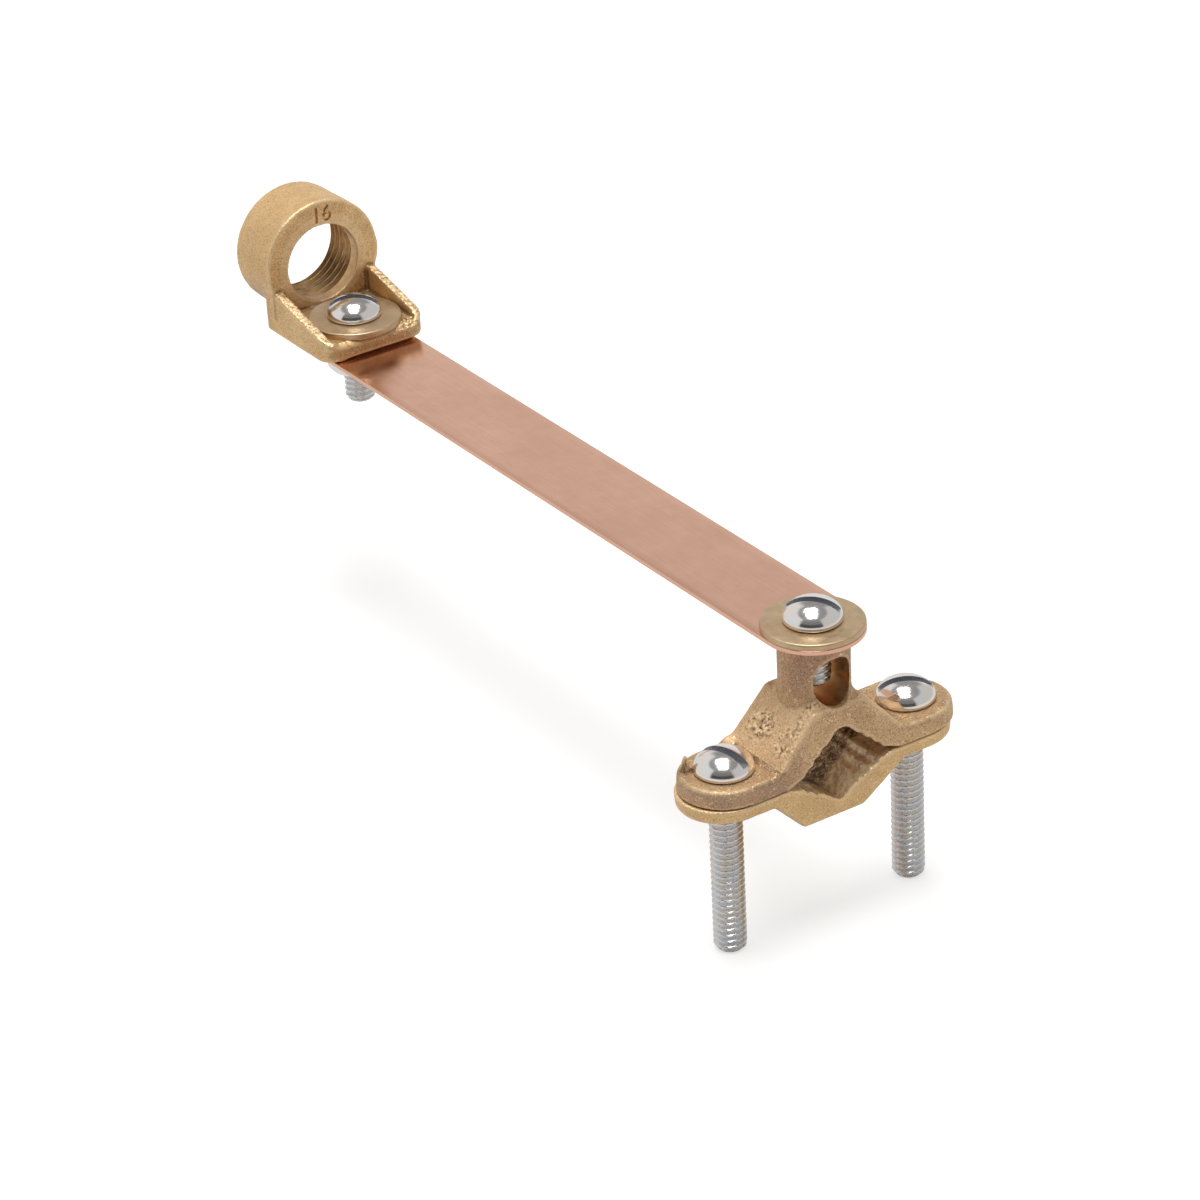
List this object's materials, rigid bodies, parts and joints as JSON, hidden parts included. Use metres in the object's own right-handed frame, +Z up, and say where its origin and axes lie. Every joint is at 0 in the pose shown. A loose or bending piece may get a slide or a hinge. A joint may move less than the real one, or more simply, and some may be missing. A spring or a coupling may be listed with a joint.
{
  "type": "earthing pipe clamp",
  "caption": "Cast bronze earthing clamp with toothed pipe jaws, a flat copper strap and a threaded conduit hub for the earth wire.",
  "frame": {"origin": "centre of the pipe space, on the parting face of the two jaws, midway between the clamp screws", "axes": "+X along the jaws, +Y along the clamped pipe's axis towards the conduit hub, +Z up towards the screw heads"},
  "size_m": [0.06, 0.1944, 0.088],
  "materials": {
    "cast_bronze": "sand-cast bronze, fine grainy skin, satin",
    "copper_strip": "rolled copper strip, satin",
    "brass_washer": "tumbled brass, dull satin",
    "plated_steel": "bright zinc-plated steel"
  },
  "bodies": {
    "jaw_base": {"upper_jaw": "cast_bronze"},
    "lower_jaw": {"lower_jaw": "cast_bronze"},
    "clamp_screw_left": {"clamp_screw_left": "plated_steel"},
    "clamp_screw_right": {"clamp_screw_right": "plated_steel"},
    "strap": {"strap": "copper_strip", "hub_nut": "plated_steel"},
    "terminal_washer": {"terminal_washer": "brass_washer"},
    "terminal_screw": {"terminal_screw": "plated_steel"},
    "hub": {"hub": "cast_bronze"},
    "hub_washer": {"hub_washer": "brass_washer"},
    "hub_screw": {"hub_screw": "plated_steel"}
  },
  "joints": [
    {"name": "jaw_travel", "type": "slide", "parent": "jaw_base", "child": "lower_jaw", "axis": [0, 0, -1], "range_m": [0, 0.029]},
    {"name": "clamp_screw_left_spin", "type": "hinge", "parent": "jaw_base", "child": "clamp_screw_left", "pos_m": [-0.0209, 0, 0], "axis": [0, 0, 1], "range_deg": [0, 8221]},
    {"name": "clamp_screw_right_spin", "type": "hinge", "parent": "jaw_base", "child": "clamp_screw_right", "pos_m": [0.0209, 0, 0], "axis": [0, 0, 1], "range_deg": [0, 8221]},
    {"name": "strap_swivel", "type": "hinge", "parent": "jaw_base", "child": "strap", "pos_m": [0, 0, 0.02524], "axis": [0, 0, 1], "continuous": true},
    {"name": "hub_swivel", "type": "hinge", "parent": "strap", "child": "hub", "pos_m": [0, 0.1595, 0.02614], "axis": [0, 0, 1], "continuous": true},
    {"name": "terminal_lift", "type": "slide", "parent": "jaw_base", "child": "terminal_washer", "axis": [0, 0, 1], "range_m": [0, 0.01]},
    {"name": "terminal_screw_spin", "type": "hinge", "parent": "terminal_washer", "child": "terminal_screw", "pos_m": [0, 0, 0.02744], "axis": [0, 0, 1], "range_deg": [0, 2835]},
    {"name": "hub_washer_lift", "type": "slide", "parent": "strap", "child": "hub_washer", "axis": [0, 0, 1], "range_m": [0, 0.011]},
    {"name": "hub_screw_spin", "type": "hinge", "parent": "hub_washer", "child": "hub_screw", "pos_m": [0, 0.1595, 0.03154], "axis": [0, 0, 1], "range_deg": [0, 3119]}
  ],
  "couplings": [
    {"joint": "clamp_screw_left_spin", "follows": "jaw_travel", "rad_per_m": 4947.4},
    {"joint": "clamp_screw_right_spin", "follows": "jaw_travel", "rad_per_m": 4947.4},
    {"joint": "terminal_screw_spin", "follows": "terminal_lift", "rad_per_m": 4947.4},
    {"joint": "hub_screw_spin", "follows": "hub_washer_lift", "rad_per_m": 4947.4}
  ]
}
